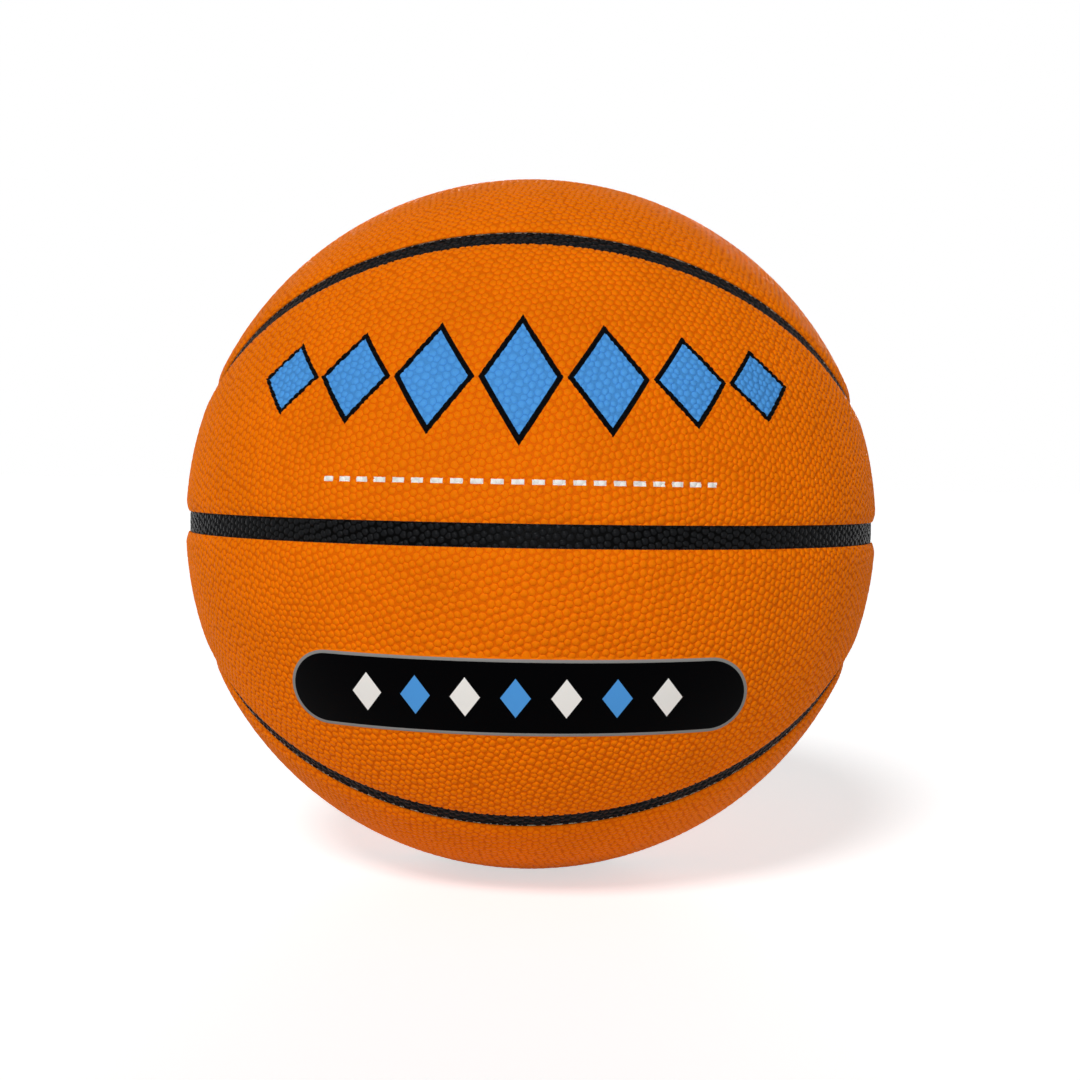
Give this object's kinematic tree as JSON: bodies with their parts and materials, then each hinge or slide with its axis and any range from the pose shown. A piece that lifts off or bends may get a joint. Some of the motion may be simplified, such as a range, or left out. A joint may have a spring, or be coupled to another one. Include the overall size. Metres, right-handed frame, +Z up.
{
  "type": "basketball",
  "caption": "Indoor basketball with pebbled orange cover panels, recessed black channel strips, a smooth front badge and an air bladder with a needle valve.",
  "frame": {"origin": "centre of the ball", "axes": "+Z up through the middle of the top oval, -Y towards the front side with the badge, +X to the right as seen from the front"},
  "size_m": [0.241, 0.2414, 0.2414],
  "materials": {
    "cover": "pebbled composite leather, satin",
    "strip": "pebbled black composite, satin",
    "sponge": "open-cell sponge sheet, matt",
    "carcass_rubber": "moulded rubber, matt",
    "thread": "wound nylon thread, satin",
    "butyl": "butyl rubber, satin",
    "valve_rubber": "moulded rubber, matt",
    "plug_rubber": "soft moulded rubber, satin",
    "badge_film": "smooth printed film, satin"
  },
  "bodies": {
    "ball": {"bladder": "butyl", "winding": "thread", "carcass": "carcass_rubber", "valve_housing": "valve_rubber", "pad_front_upper": "sponge", "pad_front_lower": "sponge", "pad_back_upper": "sponge", "pad_back_lower": "sponge", "pad_top_front": "sponge", "pad_top_back": "sponge", "pad_bottom_front": "sponge", "pad_bottom_back": "sponge", "panel_front_upper": "cover", "panel_front_lower": "cover", "panel_back_upper": "cover", "panel_back_lower": "cover", "panel_top_front": "cover", "panel_top_back": "cover", "panel_bottom_front": "cover", "panel_bottom_back": "cover", "equator_strip": "strip", "oval_strip_top": "strip", "oval_strip_bottom": "strip", "meridian_strip_top": "strip", "meridian_strip_bottom": "strip", "meridian_strip_right_upper": "strip", "meridian_strip_right_lower": "strip", "meridian_strip_left_upper": "strip", "meridian_strip_left_lower": "strip", "front_badge": "badge_film"},
    "valve_plug": {"valve_plug": "plug_rubber"}
  },
  "joints": [
    {"name": "valve_plug_pull", "type": "slide", "parent": "ball", "child": "valve_plug", "axis": [0, 0.9703, 0.2419], "range_m": [0, 0.024]}
  ]
}
